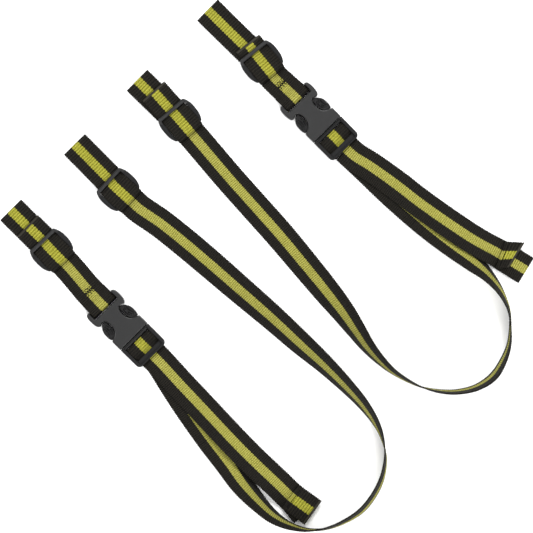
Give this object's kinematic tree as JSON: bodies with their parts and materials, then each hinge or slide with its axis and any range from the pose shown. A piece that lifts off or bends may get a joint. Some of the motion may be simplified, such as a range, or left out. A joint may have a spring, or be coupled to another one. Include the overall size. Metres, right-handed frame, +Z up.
{
  "type": "webbing strap pair",
  "caption": "Webbing carry straps laid flat: side-release buckle, hemmed adjusting tail, and a sliding-bar loop at each end of every strap.",
  "frame": {"origin": "centre of the laid-out pair, on the surface it lies on", "axes": "+X along both buckles, from the end loops towards the wide turns; +Y from strap 1 to strap 2; +Z up from the surface"},
  "size_m": [0.3959, 0.3198, 0.0251],
  "materials": {
    "webbing": "matt woven, with a yellow-green centre stripe",
    "plastic": "fine matt moulded",
    "thread": "close stitching"
  },
  "bodies": {
    "strap1_long_end": {"strap1_long_web_run": "webbing", "strap1_long_web_turn": "webbing", "strap1_long_web_return": "webbing", "strap1_long_web_loop": "webbing"},
    "strap1_long_end_slider": {"strap1_long_slider": "webbing", "strap1_long_web_slider_strand": "webbing", "strap1_long_web_slider_wrap": "webbing"},
    "strap1_male_half": {"strap1_buckle_male": "webbing", "strap1_long_web_buckle_weave": "webbing"},
    "strap1_left_prong": {"strap1_prong_left": "webbing"},
    "strap1_right_prong": {"strap1_prong_right": "webbing"},
    "strap1_tail_end": {"strap1_long_web_tail": "webbing", "strap1_tail_hem": "webbing", "strap1_tail_flap": "webbing", "strap1_tail_seam": "thread"},
    "strap1_short_end": {"strap1_buckle_female": "webbing", "strap1_short_web": "webbing", "strap1_bar_tack": "thread", "strap1_short_web_loop": "webbing"},
    "strap1_short_end_slider": {"strap1_short_slider": "webbing", "strap1_short_web_slider_strand": "webbing", "strap1_short_web_slider_wrap": "webbing"},
    "strap2_long_end": {"strap2_long_web_run": "webbing", "strap2_long_web_turn": "webbing", "strap2_long_web_return": "webbing", "strap2_long_web_loop": "webbing"},
    "strap2_long_end_slider": {"strap2_long_slider": "webbing", "strap2_long_web_slider_strand": "webbing", "strap2_long_web_slider_wrap": "webbing"},
    "strap2_male_half": {"strap2_buckle_male": "webbing", "strap2_long_web_buckle_weave": "webbing"},
    "strap2_left_prong": {"strap2_prong_left": "webbing"},
    "strap2_right_prong": {"strap2_prong_right": "webbing"},
    "strap2_tail_end": {"strap2_long_web_tail": "webbing", "strap2_tail_hem": "webbing", "strap2_tail_flap": "webbing", "strap2_tail_seam": "thread"},
    "strap2_short_end": {"strap2_buckle_female": "webbing", "strap2_short_web": "webbing", "strap2_bar_tack": "thread", "strap2_short_web_loop": "webbing"},
    "strap2_short_end_slider": {"strap2_short_slider": "webbing", "strap2_short_web_slider_strand": "webbing", "strap2_short_web_slider_wrap": "webbing"}
  },
  "joints": [
    {"name": "strap1_long_slider_slide", "type": "slide", "parent": "strap1_long_end", "child": "strap1_long_end_slider", "axis": [0.999, 0.0436, 0], "range_m": [-0.008, 0.006], "deforming": ["strap1_long_web_return", "strap1_long_web_loop"]},
    {"name": "strap1_length_adjust", "type": "slide", "parent": "strap1_long_end", "child": "strap1_male_half", "axis": [-1, 0, 0], "range_m": [0, 0.01], "deforming": ["strap1_long_web_run", "strap1_long_web_buckle_weave"]},
    {"name": "strap1_tail_feed", "type": "slide", "parent": "strap1_male_half", "child": "strap1_tail_end", "axis": [-1, 0, 0], "range_m": [0, 0.01], "deforming": ["strap1_long_web_tail"]},
    {"name": "strap1_left_prong_flex", "type": "hinge", "parent": "strap1_male_half", "child": "strap1_left_prong", "pos_m": [-0.04565, -0.1156, 0.0045], "axis": [0, 0, 1], "range_deg": [0, 10.5], "stiffness_Nm_per_rad": 0.4},
    {"name": "strap1_right_prong_flex", "type": "hinge", "parent": "strap1_male_half", "child": "strap1_right_prong", "pos_m": [-0.04565, -0.1392, 0.0045], "axis": [0, 0, -1], "range_deg": [0, 10.5], "stiffness_Nm_per_rad": 0.4},
    {"name": "strap1_buckle_release", "type": "slide", "parent": "strap1_male_half", "child": "strap1_short_end", "axis": [-1, 0, 0], "range_m": [0, 0.04], "deforming": ["strap1_prong_left", "strap1_prong_right"]},
    {"name": "strap1_short_slider_slide", "type": "slide", "parent": "strap1_short_end", "child": "strap1_short_end_slider", "axis": [0.9998, -0.0175, 0], "range_m": [-0.008, 0.008], "deforming": ["strap1_short_web", "strap1_short_web_loop"]},
    {"name": "strap2_long_slider_slide", "type": "slide", "parent": "strap2_long_end", "child": "strap2_long_end_slider", "axis": [0.9969, -0.0785, 0], "range_m": [-0.004, 0.006], "deforming": ["strap2_long_web_return", "strap2_long_web_loop"]},
    {"name": "strap2_length_adjust", "type": "slide", "parent": "strap2_long_end", "child": "strap2_male_half", "axis": [-1, 0, 0], "range_m": [0, 0.01], "deforming": ["strap2_long_web_run", "strap2_long_web_buckle_weave"]},
    {"name": "strap2_tail_feed", "type": "slide", "parent": "strap2_male_half", "child": "strap2_tail_end", "axis": [-1, 0, 0], "range_m": [0, 0.01], "deforming": ["strap2_long_web_tail"]},
    {"name": "strap2_left_prong_flex", "type": "hinge", "parent": "strap2_male_half", "child": "strap2_left_prong", "pos_m": [-0.05405, 0.1234, 0.0045], "axis": [0, 0, 1], "range_deg": [0, 10.5], "stiffness_Nm_per_rad": 0.4},
    {"name": "strap2_right_prong_flex", "type": "hinge", "parent": "strap2_male_half", "child": "strap2_right_prong", "pos_m": [-0.05405, 0.0998, 0.0045], "axis": [0, 0, -1], "range_deg": [0, 10.5], "stiffness_Nm_per_rad": 0.4},
    {"name": "strap2_buckle_release", "type": "slide", "parent": "strap2_male_half", "child": "strap2_short_end", "axis": [-1, 0, 0], "range_m": [0, 0.04], "deforming": ["strap2_prong_left", "strap2_prong_right"]},
    {"name": "strap2_short_slider_slide", "type": "slide", "parent": "strap2_short_end", "child": "strap2_short_end_slider", "axis": [0.9945, -0.1045, 0], "range_m": [-0.008, 0.003], "deforming": ["strap2_short_web", "strap2_short_web_loop"]},
    {"name": "strap2_set_aside", "type": "slide", "parent": "strap1_long_end", "child": "strap2_long_end", "axis": [0, 1, 0], "range_m": [0, 0.08]}
  ],
  "couplings": [
    {"joint": "strap1_tail_feed", "follows": "strap1_length_adjust", "ratio": 1},
    {"joint": "strap2_tail_feed", "follows": "strap2_length_adjust", "ratio": 1}
  ]
}
